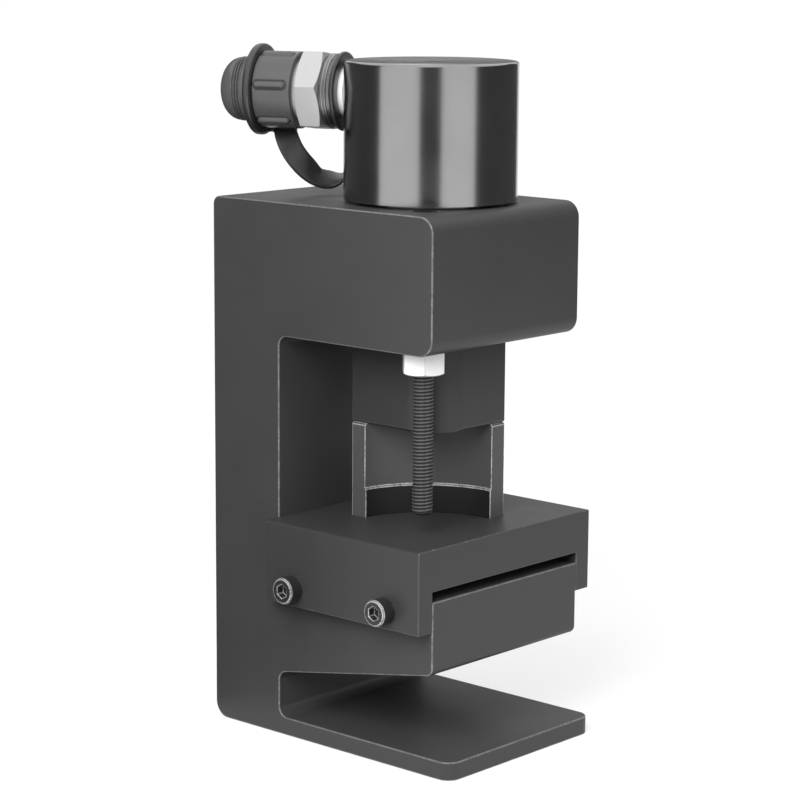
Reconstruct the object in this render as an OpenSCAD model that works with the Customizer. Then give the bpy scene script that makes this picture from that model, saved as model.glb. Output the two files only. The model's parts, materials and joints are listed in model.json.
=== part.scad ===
// Hydraulic angle iron cutter: a slot-fed shear head with a C-shaped steel frame, a single
// acting cylinder on top, a corner-radius punch, a matching die and a stripper saddle.
// Millimetres. The origin lies on the ram axis at the underside of the foot, +Z up,
// -Y towards the open front of the frame, +X to the right seen from the front.

/* [Frame] */
// Width of the frame block
frame_w = 108; // [104:1:130]
// Height of the frame
frame_h = 265; // [258:1:300]
// Front to back thickness of the rear column
column_t = 45; // [30:1:70]
// Ram axis to the front face of the column
throat_depth = 49.5; // [48:0.5:70]
// Ram axis to the front face of the top arm
arm_reach = 49; // [46:0.5:60]
// Height of the top arm
arm_h = 65; // [62:1:80]
// Ram axis to the front face of the die arm
die_arm_reach = 51; // [48:0.5:60]
// Height of the die arm's top face above the floor
die_top_z = 85; // [80:1:95]
// Height of the die arm's underside at the column
underside_rear_z = 31.5; // [26:0.5:38]
// Height of the die arm's underside at its front
underside_front_z = 49.5; // [40:0.5:56]
// Thickness of the foot plate
foot_t = 9; // [6:0.5:14]
// Ram axis to the front edge of the foot plate
foot_reach = 62.5; // [52:0.5:90]
// Corner radius of the foot plate seen from above
foot_corner_r = 7; // [3:0.5:15]
// Corner radius at the top arm's front edges and the column's bottom edge
outer_r = 8; // [3:0.5:12]
// Corner radius at the column's top edge and the die arm's front bottom edge
small_r = 4; // [1:0.5:8]
// Fillet radius inside the throats
throat_r = 5; // [2:0.5:9]

/* [Saddle] */
// Thickness of the saddle's side flanges
flange_t = 9.9; // [7:0.1:14]
// Side gap between a flange and the frame
flange_gap = 0.1; // [0:0.05:0.3]
// Height of the work slot between die and saddle
slot_h = 5; // [4.6:0.1:9]
// Thickness of the saddle's top plate
saddle_t = 20.5; // [14:0.5:28]
// Length of the flanges below the saddle's underside
flange_drop = 19.5; // [17:0.5:26]
// Gap between the saddle and the column
saddle_gap = 0.3; // [0.1:0.1:1]
// Front to back distance between the two saddle screws of a side
saddle_screw_span = 60; // [50:1:72]
// Saddle screw axis below the die arm's top face
saddle_screw_drop = 5.5; // [5:0.5:9]
// Thread diameter of the saddle screws
saddle_screw_d = 8; // [6:0.5:9]
// Wall of the frame between the saddle screws' ends and the die
saddle_screw_wall = 4; // [2.5:0.5:9]

/* [Die] */
// Width of the die insert
die_w = 70; // [68:1:74]
// Length of the die insert, front to back
die_l = 74; // [72:1:80]
// Thickness of the die insert
die_t = 20; // [12:1:24]
// Corner radius of the die insert and its pocket
die_corner_r = 6; // [3:0.5:8]
// Cutting clearance between punch and die
die_clearance = 0.3; // [0.15:0.05:0.6]
// Width of the slug passage under the die
passage_w = 54; // [52.5:0.5:58]
// Length of the slug passage under the die, front to back
passage_l = 60; // [58:0.5:64]

/* [Punch] */
// Width of the punch and the ram head
punch_w = 51; // [47:0.5:52]
// Length of the punch and the ram head, front to back
punch_l = 56; // [52:0.5:57]
// Radius that the punch leaves on the work
cut_r = 43; // [36:0.5:44]
// Width of the punch limb that runs front to back
limb_right = 11; // [10:0.5:14]
// Width of the punch limb that runs side to side
limb_back = 10; // [9.5:0.5:14]
// Height of the cutting land at the punch's lower end
land_h = 33; // [24:1:40]
// Depth of the relief above the cutting land
land_relief = 0.7; // [0.3:0.1:1.5]
// Height of the punch's cutting edge above the slot at rest
punch_lift = 2; // [0.5:0.5:6]
// Gap between the punch and the saddle
stripper_gap = 0.25; // [0.1:0.05:0.6]

/* [Ram] */
// Height of the ram head
head_h = 42.5; // [38:0.5:50]
// Gap between the ram head and the top arm at rest
head_gap = 0.4; // [0.3:0.1:1]
// Corner radius of the ram head beside the hold-down screw
head_corner_r = 20; // [8:1:22]
// Small edge chamfer on the ram head and punch
edge_c = 1; // [0.5:0.1:2]
// Diameter of the piston rod
rod_d = 36; // [32:0.5:38]
// Diameter of the rod's spigots in the piston and the ram head
spigot_d = 24; // [20:0.5:26]
// Height of the piston
piston_h = 26; // [24:0.5:30]

/* [Cylinder] */
// Outer diameter of the cylinder barrel
barrel_d = 84; // [78:1:90]
// Height of the barrel's top above the frame
barrel_h = 67.5; // [64:0.5:80]
// Gap between the barrel's shoulder and the frame
shoulder_gap = 1.5; // [0.5:0.5:4]
// Diameter of the barrel's threaded neck
neck_d = 68; // [66:0.5:70]
// Length of the barrel's neck inside the top arm
neck_l = 50; // [45:1:55]
// Cylinder bore
bore_d = 56; // [54:0.5:58]
// Thickness of the barrel's closed end
barrel_end_t = 12.5; // [11.5:0.5:14]
// Edge radius at the top of the barrel
barrel_edge_r = 1.5; // [0.5:0.5:4]
// Height of the port axis below the barrel's top
port_drop = 15.8; // [15:0.1:16.5]
// Direction of the port, turned from straight back towards the left side
port_turn = 22.5; // [0:0.5:45]

/* [Return spring] */
// Wire diameter of the return spring
spring_wire = 5; // [4:0.5:6]
// Number of turns of the return spring
spring_turns = 6; // [4:1:8]

/* [Hold-down screw] */
// Thread diameter of the hold-down screw
hold_d = 10; // [8:0.5:11]
// Length of the hold-down screw
hold_len = 120; // [95:1:140]
// Height of the hold-down screw's tip above the saddle at rest
hold_lift = 10; // [4:0.5:25]
// Ram axis to the hold-down screw, towards the left side
hold_x = 33.5; // [33:0.5:36]
// Ram axis to the hold-down screw, towards the front
hold_y = 26; // [25:0.5:30]
// Width of the lock nut across its flats
nut_af = 19; // [16:0.5:20]
// Height of the lock nut
nut_h = 12; // [8:0.5:14]

/* [Coupler] */
// Width of the coupler body across its flats
coupler_af = 36; // [32:0.5:38]
// Length of the coupler's hexagon
coupler_hex_l = 12.5; // [9:0.5:16]
// Length of the round shoulder behind the hexagon
coupler_shoulder_l = 5.1; // [4.6:0.1:8]
// Diameter of the coupler's threaded sleeve
sleeve_d = 31; // [29:0.5:32]
// Length of the coupler's threaded sleeve
sleeve_l = 19.6; // [17:0.1:24]
// Diameter of the port adapter's collar
collar_d = 24; // [22:0.5:25]
// Length of the port adapter's collar outside the barrel
collar_l = 5; // [4.6:0.1:8]
// Travel of the coupler's check valve
valve_travel = 4; // [2:0.5:5]

/* [Dust cap] */
// Diameter of the ribbed cap body
cap_d = 37.4; // [36:0.2:40]
// Gap between the coupler's hexagon and the cap
cap_gap = 2.2; // [1:0.1:5]
// Diameter of the cap's threaded nose
nose_d = 31.4; // [30:0.2:34]
// Length of the cap's nose with its domed end
nose_l = 17.5; // [14:0.5:24]
// Height of the nose's dome
dome_h = 9.2; // [4:0.2:12]
// Number of grip ribs
rib_n = 6; // [4:1:12]
// Width of a grip rib
rib_w = 4; // [2:0.5:5]
// Height of a grip rib
rib_h = 1.2; // [0.6:0.1:1.6]

/* [Strap] */
// Width of the strap band
strap_w = 11.5; // [9:0.5:13]
// Thickness of the strap band
strap_t = 2.5; // [1.5:0.1:3]
// Outer diameter of the strap's ring on the cap
cap_ring_d = 44.5; // [42:0.5:48]
// Thickness of the strap's ring on the cap
cap_ring_t = 3.6; // [2.5:0.1:5]
// Outer diameter of the strap's ring on the port adapter
port_ring_d = 38.4; // [34:0.2:42]
// Thickness of the strap's ring on the port adapter
port_ring_t = 2.2; // [1.5:0.1:3.5]

/* [Hidden] */

$fn = 64;

// Clearances and small common sizes
fit = 0.05;                // radial gap of parts that are pressed or screwed together
run = 0.05;                // radial gap of parts that slide on each other
bleed = 1;                 // how far a cut runs past the surface that it opens
sliver_over = 0.5;         // how far a corner's sliver runs past the corner's edges

// Frame heights and faces
column_y = throat_depth;
back_y = throat_depth + column_t;
arm_z = frame_h - arm_h;
slot_top_z = die_top_z + slot_h;
saddle_top_z = slot_top_z + saddle_t;

// Saddle
flange_in_x = frame_w / 2 + flange_gap;
flange_out_x = flange_in_x + flange_t;
saddle_back_y = column_y - saddle_gap;
saddle_screw_z = die_top_z - saddle_screw_drop;
saddle_edge_c = 1;
screw_head_ratio = 1.625;  // socket head diameter over thread diameter
screw_hole_gap = 0.5;      // radial gap of a through hole round its screw
saddle_screw_len = flange_t + flange_gap + (frame_w - die_w) / 2 - saddle_screw_wall;

// Die
die_z = die_top_z - die_t;
die_screw_d = 5;
die_screw_head_d = 9.2;
die_screw_len = 28;
die_socket_d = 3.4;
die_socket_depth = 2;
die_screw_x = 30.2 / 70 * die_w;
die_screw_y = 32 / 74 * die_l;

// Ram head and punch
head_top_z = arm_z - head_gap;
head_z = head_top_z - head_h;
punch_z = slot_top_z + punch_lift;
punch_len = head_z - punch_z;
arc_x = punch_w / 2 - limb_right - cut_r;
arc_y = punch_l / 2 - limb_back - cut_r;
land_z = punch_z + land_h;
tool_screw_d = 6;
tool_screw_depth = 16;
tool_screw_sink = 1;       // how far the screws' heads lie below the ram head's top
tool_dowel_d = 6;
tool_dowel_depth = 10;
hole_tip = 1;              // how much deeper a blind hole is than what sits in it
// Screws and dowels down the middle of the punch's limbs, between the hollow corner's arc
// and the outer faces
side_screw_y = -13;
back_screw_x = -11;
corner_inset = 8;
side_dowel_y = -22;
back_dowel_x = -19;
function limb_mid_x(y) = (arc_x + sqrt(pow(cut_r, 2) - pow(y - arc_y, 2)) + punch_w / 2) / 2;
function limb_mid_y(x) = (arc_y + sqrt(pow(cut_r, 2) - pow(x - arc_x, 2)) + punch_l / 2) / 2;
tool_screws = [
    [limb_mid_x(side_screw_y), side_screw_y],
    [back_screw_x, limb_mid_y(back_screw_x)],
    [punch_w / 2 - corner_inset, punch_l / 2 - corner_inset]
];
tool_dowels = [
    [limb_mid_x(side_dowel_y), side_dowel_y],
    [back_dowel_x, limb_mid_y(back_dowel_x)]
];

// Cylinder
barrel_top_z = frame_h + barrel_h;
shoulder_z = frame_h + shoulder_gap;
neck_z = frame_h - neck_l;
chamber_z = barrel_top_z - barrel_end_t;
stop_boss_d = 24;
stop_boss_h = 6.7;
stop_gap = 0.3;
piston_top_z = chamber_z - stop_boss_h - stop_gap;
piston_z = piston_top_z - piston_h;
port_z = barrel_top_z - port_drop;
port_d = 16.7;
port_bottom = bore_d / 2 + 2;
oil_way_d = 5;
port_end_gap = 0.5;           // gap between the adapter's end and the port's bottom
spot_gap = 2;
spot_d = collar_d + spot_gap;
spot_depth = 0.3;          // how far the spot face lies inside the barrel at its sides
spot_x = sqrt(pow(barrel_d / 2, 2) - pow(spot_d / 2, 2)) - spot_depth;

// Piston details
centre_screw_d = 12;
centre_head_d = 18;
centre_head_h = 11.7;
centre_recess_d = 19;
centre_recess_h = 12;
piston_spigot_l = 10;
piston_thread_l = 26;
piston_screw_len = 28;
seal_z = piston_z + 16;
seal_h = 6;
seal_t = 4;
seal_lip_w = 0.9;
seal_lip_h = 2.4;
seal_edge = [0.4, 1];      // width and height of the chamfer at the seal's heel
wear_z = piston_z + 4;
wear_h = 8;
wear_t = 2;

// Rod guide in the top arm
guide_bush_t = 4;
bush_flange_h = 5;
wiper_h = 3.6;
wiper_recess = 0.4;
guide_d = rod_d + 2 * guide_bush_t;
bush_low_z = arm_z + wiper_recess + wiper_h;
head_spigot_l = 14;
head_dowel_d = 5;
head_dowel_l = 16;
head_screw_grip = 24;      // length of the head screw inside the rod

// Return spring
spring_gap = 0.3;
spring_low_z = neck_z + bush_flange_h + spring_gap;
spring_high_z = piston_z - spring_gap;
spring_r = (bore_d + rod_d) / 4;
spring_steps = 12;
spring_sides = 6;

// Hold-down screw
hold_tip_z = saddle_top_z + hold_lift;
hold_hole_d = hold_d + 2 * fit;
hold_mouth_d = hold_d + 3.7;
nut_chamfer = 1;

// Coupler stations along the port axis, measured from the ram axis
seal_ring_t = 1.5;
seal_ring_inset = 0.3;     // how far the washer's rim lies inside the collar's
collar_x = spot_x + seal_ring_t;
coupler_x = collar_x + collar_l;
hex_x = coupler_x + coupler_shoulder_l;
sleeve_x = hex_x + coupler_hex_l;
sleeve_end = sleeve_x + sleeve_l;
shoulder_d = coupler_af + 0.4;
shoulder_neck = [0.9, 1.5];    // width and depth of the groove between shoulder and hexagon
shoulder_step = [1.4, 0.9];    // length and depth of the step at the shoulder's far end
shoulder_ridge = [1.1, 0.5];   // width and depth of the V groove in the middle of the shoulder
shoulder_edge_c = 0.4;
adapter_thread_l = 11;
adapter_thread_d = 18;
adapter_bore_d = 6;
valve_chamber_d = 15;
valve_seat_x = sleeve_end - 11;
valve_web_t = 2.2;
valve_hole_d = 9;
coupler_socket_d = 18;
hex_lean = 7;
hex_chamfer = 1.2;
valve_head_t = 3.2;
valve_nose_l = 5;
valve_gap = 0.5;           // radial gap round the poppet
valve_end_gap = 0.3;       // gap between the poppet, its seat and its spring
valve_spring_r = 5;
valve_spring_wire = 1.2;
valve_spring_turns = 3;
valve_head_x = valve_seat_x - valve_end_gap - valve_head_t;
valve_spring_x = coupler_x + adapter_thread_l + valve_travel + valve_end_gap;

// Dust cap stations
cap_seal_t = 1;
cap_seal_gap = 0.3;        // gap between the sleeve's end and the cap's seal
cap_seal_inset = 0.5;      // how far the seal's rim lies inside the sleeve's
cap_bore_gap = 0.2;        // radial gap between the sleeve and the cap
cap_rim = 0.8;             // length of the cap's body past the bottom of its bore
groove_depth = 1.2;        // depth of the strap ring's groove below the nose
groove_gap = 0.15;         // gap of the strap ring in its groove, radial and at both sides
cap_edge_c = 0.6;
dome_flat = 0.2;           // share of the nose's radius that is flat at its end
dome_steps = 12;
cap_x = sleeve_x + cap_gap;
cap_wall_x = sleeve_end + cap_seal_gap + cap_seal_t;
cap_bore_d = sleeve_d + 2 * cap_bore_gap;
cap_body_x = cap_wall_x + cap_rim;
neck_ring_d = nose_d - 2 * groove_depth;
nose_x = cap_body_x + cap_ring_t + 2 * groove_gap;
cap_end = nose_x + nose_l;
rib_lean = 10;
rib_end_gap = 2.2;
rib_shoulder_gap = 0.5;

// Strap: the band's middle line from the cap's ring to the port ring. Each point holds
// the share of the way from the port ring to the cap's ring, the distance to the side of
// the port axis and the height over it. The second list holds the band's roll about its
// run at each point, from the roll at which its width points along the port axis.
port_ring_end_gap = 0.6;   // gap between the port ring and the coupler's shoulder
port_ring_gap = 0.1;       // radial gap round the collar
port_ring_x = coupler_x - port_ring_end_gap - port_ring_t;
strap_low_x = port_ring_x + port_ring_t / 2;
strap_high_x = cap_body_x + groove_gap;
strap_route = [
    [0.85, -11.3, -19.3], [0.804, -6.9, -22.8], [0.728, -7, -29.6], [0.597, -9.4, -37.6],
    [0.454, -15.6, -43.9], [0.246, -20.6, -45.1], [0.147, -22.4, -40.6], [0.085, -24.1, -33.1],
    [0.04, -24.3, -25], [0.014, -21.5, -17], [0, -15, -9]
];
strap_roll = [0, 5, -8, -19, -25, -48, -61, -75, -85, -89, -90];
strap_steps = 3;

// Corner of a polygon at point b between points a and c: the sliver between the sharp
// corner and its tangent arc. It is added at an inner corner and cut at an outer one, and
// runs past the polygon's two edges, so that no film is left along them.
module corner_sliver(a, b, c, r) {
    u = (a - b) / norm(a - b);
    v = (c - b) / norm(c - b);
    half_angle = acos(u * v) / 2;
    reach = r / tan(half_angle);
    middle = b + (u + v) / norm(u + v) * r / sin(half_angle);
    grow = 1 + sliver_over / r;
    difference() {
        polygon([for (p = [b, b + u * reach, middle, b + v * reach]) middle + (p - middle) * grow]);
        translate(middle) circle(r);
    }
}

// Polygon from points [x, y, radius] that run anticlockwise, with its corners rounded.
module rounded_polygon(points) {
    n = len(points);
    flat = [for (p = points) [p[0], p[1]]];
    turn = [for (i = [0 : n - 1]) cross(
        flat[i] - flat[(i + n - 1) % n],
        flat[(i + 1) % n] - flat[i])];
    difference() {
        union() {
            polygon(flat);
            for (i = [0 : n - 1])
                if (turn[i] < 0 && points[i][2] > 0)
                    corner_sliver(flat[(i + n - 1) % n], flat[i], flat[(i + 1) % n], points[i][2]);
        }
        for (i = [0 : n - 1])
            if (turn[i] > 0 && points[i][2] > 0)
                corner_sliver(flat[(i + n - 1) % n], flat[i], flat[(i + 1) % n], points[i][2]);
    }
}

// Rectangle centred on the origin with round corners.
module round_rect(w, l, r) {
    square([w - 2 * r, l], center = true);
    square([w, l - 2 * r], center = true);
    for (x = [-1, 1])
        for (y = [-1, 1])
            translate([x * (w / 2 - r), y * (l / 2 - r)]) circle(r);
}

// Rectangle centred on the origin with chamfered corners.
module chamfer_rect(w, l, c) {
    polygon([
        [-w / 2 + c, -l / 2], [w / 2 - c, -l / 2], [w / 2, -l / 2 + c], [w / 2, l / 2 - c],
        [w / 2 - c, l / 2], [-w / 2 + c, l / 2], [-w / 2, l / 2 - c], [-w / 2, -l / 2 + c]
    ]);
}

// Ring along +Z from z = 0.
module ring(outer_d, inner_d, h) {
    difference() {
        cylinder(d = outer_d, h = h);
        translate([0, 0, -bleed]) cylinder(d = inner_d, h = h + 2 * bleed);
    }
}

// Places its children with +X along the port axis, at the port's height.
module on_port_axis() {
    translate([0, 0, port_z]) rotate([0, 0, 90 + port_turn]) children();
}

// Places its children with +Z along the port axis, a distance x from the ram axis.
module along_port(x) {
    on_port_axis() translate([x, 0, 0]) rotate([0, 90, 0]) children();
}

// Hexagon prism along +Z with its corners turned off by cones at both ends.
module chamfered_hex(af, h, c) {
    corner_d = af / cos(30);
    intersection() {
        cylinder(d = corner_d, h = h, $fn = 6);
        rotate_extrude() polygon([
            [0, 0], [af / 2 - c / 2, 0], [corner_d / 2, c], [corner_d / 2, h - c],
            [af / 2 - c / 2, h], [0, h]
        ]);
    }
}

// Socket head cap screw: the head's underside lies on z = 0 and the shank runs down.
module cap_screw(d, head_d, head_h, len) {
    socket_d = d * 0.87;
    chamfer = d / 12;
    difference() {
        union() {
            translate([0, 0, -len]) cylinder(d = d, h = len);
            rotate_extrude() polygon([
                [0, 0], [head_d / 2, 0], [head_d / 2, head_h - chamfer],
                [head_d / 2 - chamfer, head_h], [0, head_h]
            ]);
        }
        translate([0, 0, head_h / 2]) cylinder(d = socket_d, h = head_h, $fn = 6);
    }
}

// The C-shaped frame block with its die arm, pocket, bores and slug passage.
module frame() {
    profile = [
        [-foot_reach, 0, 0], [back_y, 0, outer_r], [back_y, frame_h, small_r],
        [-arm_reach, frame_h, outer_r], [-arm_reach, arm_z, outer_r],
        [column_y, arm_z, throat_r], [column_y, die_top_z, 0],
        [-die_arm_reach, die_top_z, 0], [-die_arm_reach, underside_front_z, small_r],
        [column_y, underside_rear_z, throat_r], [column_y, foot_t, throat_r],
        [-foot_reach, foot_t, 0]
    ];
    color([0.24, 0.24, 0.25]) difference() {
        rotate([90, 0, 90]) linear_extrude(frame_w, center = true) rounded_polygon(profile);
        // Round corners of the foot plate
        translate([0, 0, -bleed]) linear_extrude(foot_t + 2 * bleed) {
            foot = [[-frame_w / 2, back_y], [-frame_w / 2, -foot_reach],
                    [frame_w / 2, -foot_reach], [frame_w / 2, back_y]];
            corner_sliver(foot[0], foot[1], foot[2], foot_corner_r);
            corner_sliver(foot[1], foot[2], foot[3], foot_corner_r);
        }
        // Pocket for the die and the slug passage below it
        translate([0, 0, die_z])
            linear_extrude(die_t + bleed)
                round_rect(die_w + 2 * fit, die_l + 2 * fit, die_corner_r);
        translate([0, 0, foot_t + bleed])
            linear_extrude(die_z - foot_t)
                round_rect(passage_w, passage_l, die_corner_r / 2);
        // Tapped holes for the die screws
        for (x = [-1, 1])
            for (y = [-1, 1])
                translate([x * die_screw_x, y * die_screw_y, die_top_z - die_screw_len - hole_tip])
                    cylinder(d = die_screw_d + 2 * fit, h = die_screw_len);
        // Tapped holes for the saddle screws
        for (side = [-1, 1])
            for (y = [-1, 1])
                translate([side * frame_w / 2, y * saddle_screw_span / 2, saddle_screw_z])
                    rotate([0, -side * 90, 0])
                        translate([0, 0, -bleed])
                            cylinder(d = saddle_screw_d + 2 * fit,
                                     h = saddle_screw_len - flange_t + hole_tip + bleed);
        // Seat of the cylinder and hole of the rod guide
        translate([0, 0, neck_z]) cylinder(d = neck_d + 2 * fit, h = neck_l + bleed);
        translate([0, 0, arm_z - bleed]) cylinder(d = guide_d + 2 * fit, h = arm_h);
        // Tapped hole of the hold-down screw with its countersunk mouth
        translate([-hold_x, -hold_y, arm_z - bleed]) cylinder(d = hold_hole_d, h = arm_h + 2 * bleed);
        translate([-hold_x, -hold_y, frame_h - (hold_mouth_d - hold_hole_d) / 2])
            cylinder(d1 = hold_hole_d, d2 = hold_mouth_d + 2 * bleed,
                     h = (hold_mouth_d - hold_hole_d) / 2 + bleed);
    }
}

// Outline that punch, die and stripper share, grown by a gap all round.
module cut_outline(gap, r) {
    difference() {
        chamfer_rect(punch_w + 2 * gap, punch_l + 2 * gap, edge_c);
        translate([arc_x, arc_y]) circle(r - gap, $fn = 128);
    }
}

// Hardened die insert, flush with the die arm.
module die() {
    color([0.45, 0.45, 0.46]) translate([0, 0, die_z]) difference() {
        linear_extrude(die_t) round_rect(die_w, die_l, die_corner_r);
        translate([0, 0, -bleed])
            linear_extrude(die_t + 2 * bleed)
                cut_outline(die_clearance, cut_r);
        for (x = [-1, 1])
            for (y = [-1, 1])
                translate([x * die_screw_x, y * die_screw_y, 0]) {
                    translate([0, 0, -bleed])
                        cylinder(d = die_screw_d + 2 * fit, h = die_t + 2 * bleed);
                    translate([0, 0, die_t - (die_screw_head_d - die_screw_d) / 2])
                        cylinder(d1 = die_screw_d + 2 * fit,
                                 d2 = die_screw_head_d + 2 * fit + 2 * bleed,
                                 h = (die_screw_head_d - die_screw_d) / 2 + bleed);
                }
    }
}

// Four countersunk screws that hold the die down.
module die_screws() {
    cone_h = (die_screw_head_d - die_screw_d) / 2;
    color([0.3, 0.3, 0.31])
        for (x = [-1, 1])
            for (y = [-1, 1])
                translate([x * die_screw_x, y * die_screw_y, die_top_z]) difference() {
                    rotate_extrude() polygon([
                        [0, -die_screw_len], [die_screw_d / 2, -die_screw_len],
                        [die_screw_d / 2, -cone_h], [die_screw_head_d / 2, 0], [0, 0]
                    ]);
                    translate([0, 0, -die_socket_depth])
                        cylinder(d = die_socket_d, h = die_socket_depth + bleed, $fn = 6);
                }
}

// Stripper saddle over the die arm: guides the punch and closes the slot at both sides.
module saddle() {
    top = [
        [-flange_out_x, slot_top_z - flange_drop, 0], [-flange_in_x, slot_top_z - flange_drop, 0],
        [-flange_in_x, slot_top_z, 0], [flange_in_x, slot_top_z, 0],
        [flange_in_x, slot_top_z - flange_drop, 0], [flange_out_x, slot_top_z - flange_drop, 0],
        [flange_out_x, saddle_top_z, saddle_edge_c], [-flange_out_x, saddle_top_z, saddle_edge_c]
    ];
    saddle_l = saddle_back_y + die_arm_reach;
    color([0.2, 0.2, 0.21]) difference() {
        translate([0, saddle_back_y, 0])
            rotate([90, 0, 0])
                linear_extrude(saddle_l)
                    rounded_polygon(top);
        translate([0, 0, slot_top_z - bleed])
            linear_extrude(saddle_t + 2 * bleed)
                cut_outline(stripper_gap, cut_r);
        for (side = [-1, 1])
            for (y = [-1, 1])
                translate([side * (flange_in_x - bleed), y * saddle_screw_span / 2, saddle_screw_z])
                    rotate([0, side * 90, 0])
                        cylinder(d = saddle_screw_d + 2 * screw_hole_gap, h = flange_t + 2 * bleed);
    }
}

// Four socket head screws, two through each flange of the saddle.
module saddle_screws() {
    color([0.16, 0.16, 0.17])
        for (side = [-1, 1])
            for (y = [-1, 1])
                translate([side * flange_out_x, y * saddle_screw_span / 2, saddle_screw_z])
                    rotate([0, side * 90, 0])
                        cap_screw(saddle_screw_d, saddle_screw_d * screw_head_ratio,
                                  saddle_screw_d, saddle_screw_len);
}

// Cylinder barrel with its closed end, threaded neck, piston stop and oil port.
module barrel() {
    color([0.13, 0.13, 0.14]) difference() {
        rotate_extrude() rounded_polygon([
            [bore_d / 2, neck_z, 0], [neck_d / 2, neck_z, 0], [neck_d / 2, shoulder_z, 0],
            [barrel_d / 2, shoulder_z, 0], [barrel_d / 2, barrel_top_z, barrel_edge_r],
            [0, barrel_top_z, 0], [0, chamber_z - stop_boss_h, 0],
            [stop_boss_d / 2, chamber_z - stop_boss_h, 0], [stop_boss_d / 2, chamber_z, 0],
            [bore_d / 2, chamber_z, 0]
        ]);
        along_port(port_bottom) cylinder(d = port_d, h = barrel_d);
        along_port(bore_d / 2 - 2) cylinder(d = oil_way_d, h = barrel_d / 2);
        along_port(spot_x) cylinder(d = spot_d, h = barrel_d);
    }
}

// Flanged bronze bush that guides the rod.
module rod_bush() {
    color([0.72, 0.52, 0.25]) difference() {
        union() {
            translate([0, 0, bush_low_z]) cylinder(d = guide_d, h = neck_z - bush_low_z);
            translate([0, 0, neck_z]) cylinder(d = bore_d - 4 * fit, h = bush_flange_h);
        }
        translate([0, 0, arm_z]) cylinder(d = rod_d + 2 * run, h = arm_h);
    }
}

// Wiper ring below the bush.
module rod_wiper() {
    color([0.1, 0.1, 0.11])
        translate([0, 0, bush_low_z - wiper_h]) ring(guide_d, rod_d + 2 * run, wiper_h);
}

// Bonded sealing washer under the port adapter.
module port_seal() {
    color([0.35, 0.35, 0.36])
        along_port(spot_x) ring(collar_d - 2 * seal_ring_inset, port_d + 2 * fit, seal_ring_t);
}

// Adapter between the cylinder port and the coupler.
module port_adapter() {
    color([0.82, 0.83, 0.84]) difference() {
        union() {
            along_port(port_bottom + port_end_gap)
                cylinder(d = port_d - 2 * fit, h = collar_x - port_bottom - port_end_gap);
            along_port(collar_x) cylinder(d = collar_d, h = collar_l);
            along_port(coupler_x) cylinder(d = adapter_thread_d, h = adapter_thread_l);
        }
        along_port(port_bottom) cylinder(d = adapter_bore_d, h = barrel_d);
    }
}

// Coupler half: round shoulder, hexagon, threaded sleeve and the check valve's chamber.
module coupler_body() {
    color([0.86, 0.87, 0.88]) difference() {
        union() {
            along_port(coupler_x) rotate_extrude() shoulder_profile();
            along_port(hex_x) rotate([0, 0, 90 + hex_lean])
                chamfered_hex(coupler_af, coupler_hex_l, hex_chamfer);
            along_port(coupler_x) cylinder(d = sleeve_d, h = sleeve_end - coupler_x);
        }
        along_port(coupler_x - bleed)
            cylinder(d = adapter_thread_d + 2 * fit, h = adapter_thread_l + bleed);
        along_port(coupler_x + bleed)
            cylinder(d = valve_chamber_d, h = valve_seat_x - coupler_x - bleed);
        along_port(coupler_x + bleed) cylinder(d = valve_hole_d, h = barrel_d);
        along_port(valve_seat_x + valve_web_t) cylinder(d = coupler_socket_d, h = barrel_d);
    }
}

// Half section of the coupler's turned shoulder: step, two ridges and the groove at the hexagon.
module shoulder_profile() {
    r = shoulder_d / 2;
    step_x = shoulder_step[0];
    neck_x = coupler_shoulder_l - shoulder_neck[0];
    middle_x = (step_x + neck_x) / 2;
    polygon([
        [0, 0], [r - shoulder_step[1], 0], [r - shoulder_step[1], step_x],
        [r - shoulder_edge_c, step_x], [r, step_x + shoulder_edge_c],
        [r, middle_x - shoulder_ridge[0] / 2], [r - shoulder_ridge[1], middle_x],
        [r, middle_x + shoulder_ridge[0] / 2], [r, neck_x - shoulder_edge_c],
        [r - shoulder_edge_c, neck_x], [r - shoulder_neck[1], neck_x],
        [r - shoulder_neck[1], coupler_shoulder_l], [0, coupler_shoulder_l]
    ]);
}

// Poppet of the check valve, pushed in by the hose's coupler half.
module coupler_valve() {
    color([0.75, 0.75, 0.76]) {
        along_port(valve_head_x) cylinder(d = valve_chamber_d - 2 * valve_gap, h = valve_head_t);
        along_port(valve_head_x)
            cylinder(d = valve_hole_d - 2 * valve_gap, h = valve_head_t + valve_nose_l);
    }
}

// Tube of a given radius along a helix that climbs from z0 to z1.
module helix(r, wire_r, turns, z0, z1, steps, sides) {
    n = turns * steps;
    spine = [for (i = [0 : n]) [i * 360 / steps, z0 + wire_r + (z1 - z0 - 2 * wire_r) * i / n]];
    points = [for (s = spine) for (k = [0 : sides - 1])
        let (a = k * 360 / sides, rr = r + wire_r * cos(a))
            [rr * cos(s[0]), rr * sin(s[0]), s[1] + wire_r * sin(a)]];
    skin = [for (i = [0 : n - 1]) for (k = [0 : sides - 1])
        let (a = i * sides + k, b = i * sides + (k + 1) % sides)
            each [[a, a + sides, b], [b, a + sides, b + sides]]];
    caps = [
        [for (k = [0 : sides - 1]) k],
        [for (k = [sides - 1 : -1 : 0]) n * sides + k]
    ];
    polyhedron(points, concat(skin, caps));
}

// Closing spring of the check valve.
module valve_spring() {
    color([0.7, 0.7, 0.72])
        along_port(valve_spring_x)
            helix(valve_spring_r, valve_spring_wire / 2, valve_spring_turns,
                  0, valve_head_x - valve_spring_x, spring_steps, spring_sides);
}

// Threaded hold-down screw beside the ram.
module hold_down_screw() {
    tip_c = hold_d / 8;
    color([0.2, 0.2, 0.2]) translate([-hold_x, -hold_y, hold_tip_z]) rotate_extrude() polygon([
        [0, 0], [hold_d / 2 - tip_c, 0], [hold_d / 2, tip_c], [hold_d / 2, hold_len - tip_c],
        [hold_d / 2 - tip_c, hold_len], [0, hold_len]
    ]);
}

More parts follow.
